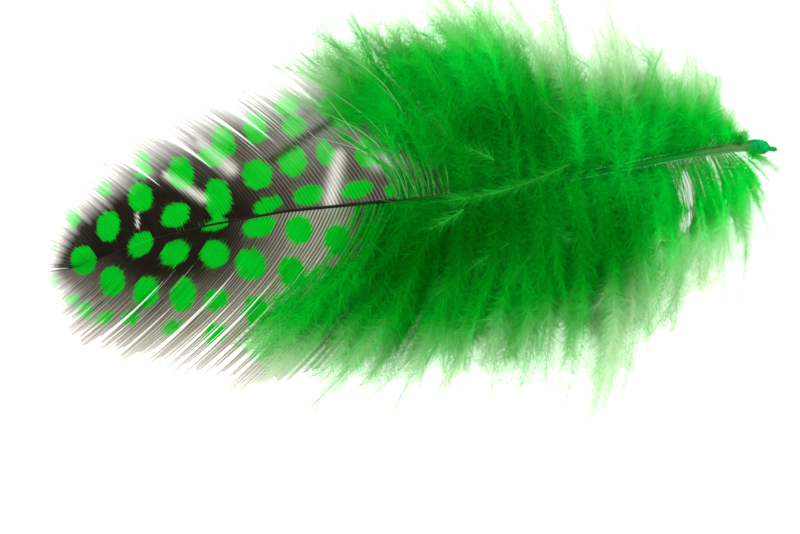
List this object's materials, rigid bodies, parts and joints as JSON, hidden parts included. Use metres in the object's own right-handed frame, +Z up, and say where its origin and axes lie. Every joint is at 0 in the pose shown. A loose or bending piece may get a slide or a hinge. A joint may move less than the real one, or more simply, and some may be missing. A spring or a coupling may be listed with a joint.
{
  "type": "guinea fowl feather",
  "caption": "Small spotted body feather dyed green, lying on its concave side: a tapered shaft with a rounded spotted vane at the tip and soft loose down towards the quill.",
  "frame": {"origin": "on the surface the feather lies on, below the middle of its outline", "axes": "+X along the shaft from its tip to the quill end, +Y across, +Z up from the surface"},
  "size_m": [0.09, 0.0481, 0.0093],
  "materials": {
    "down": "matte",
    "vane": "matte",
    "shaft": "satin"
  },
  "bodies": {
    "root": {"feather": "down"}
  },
  "joints": []
}
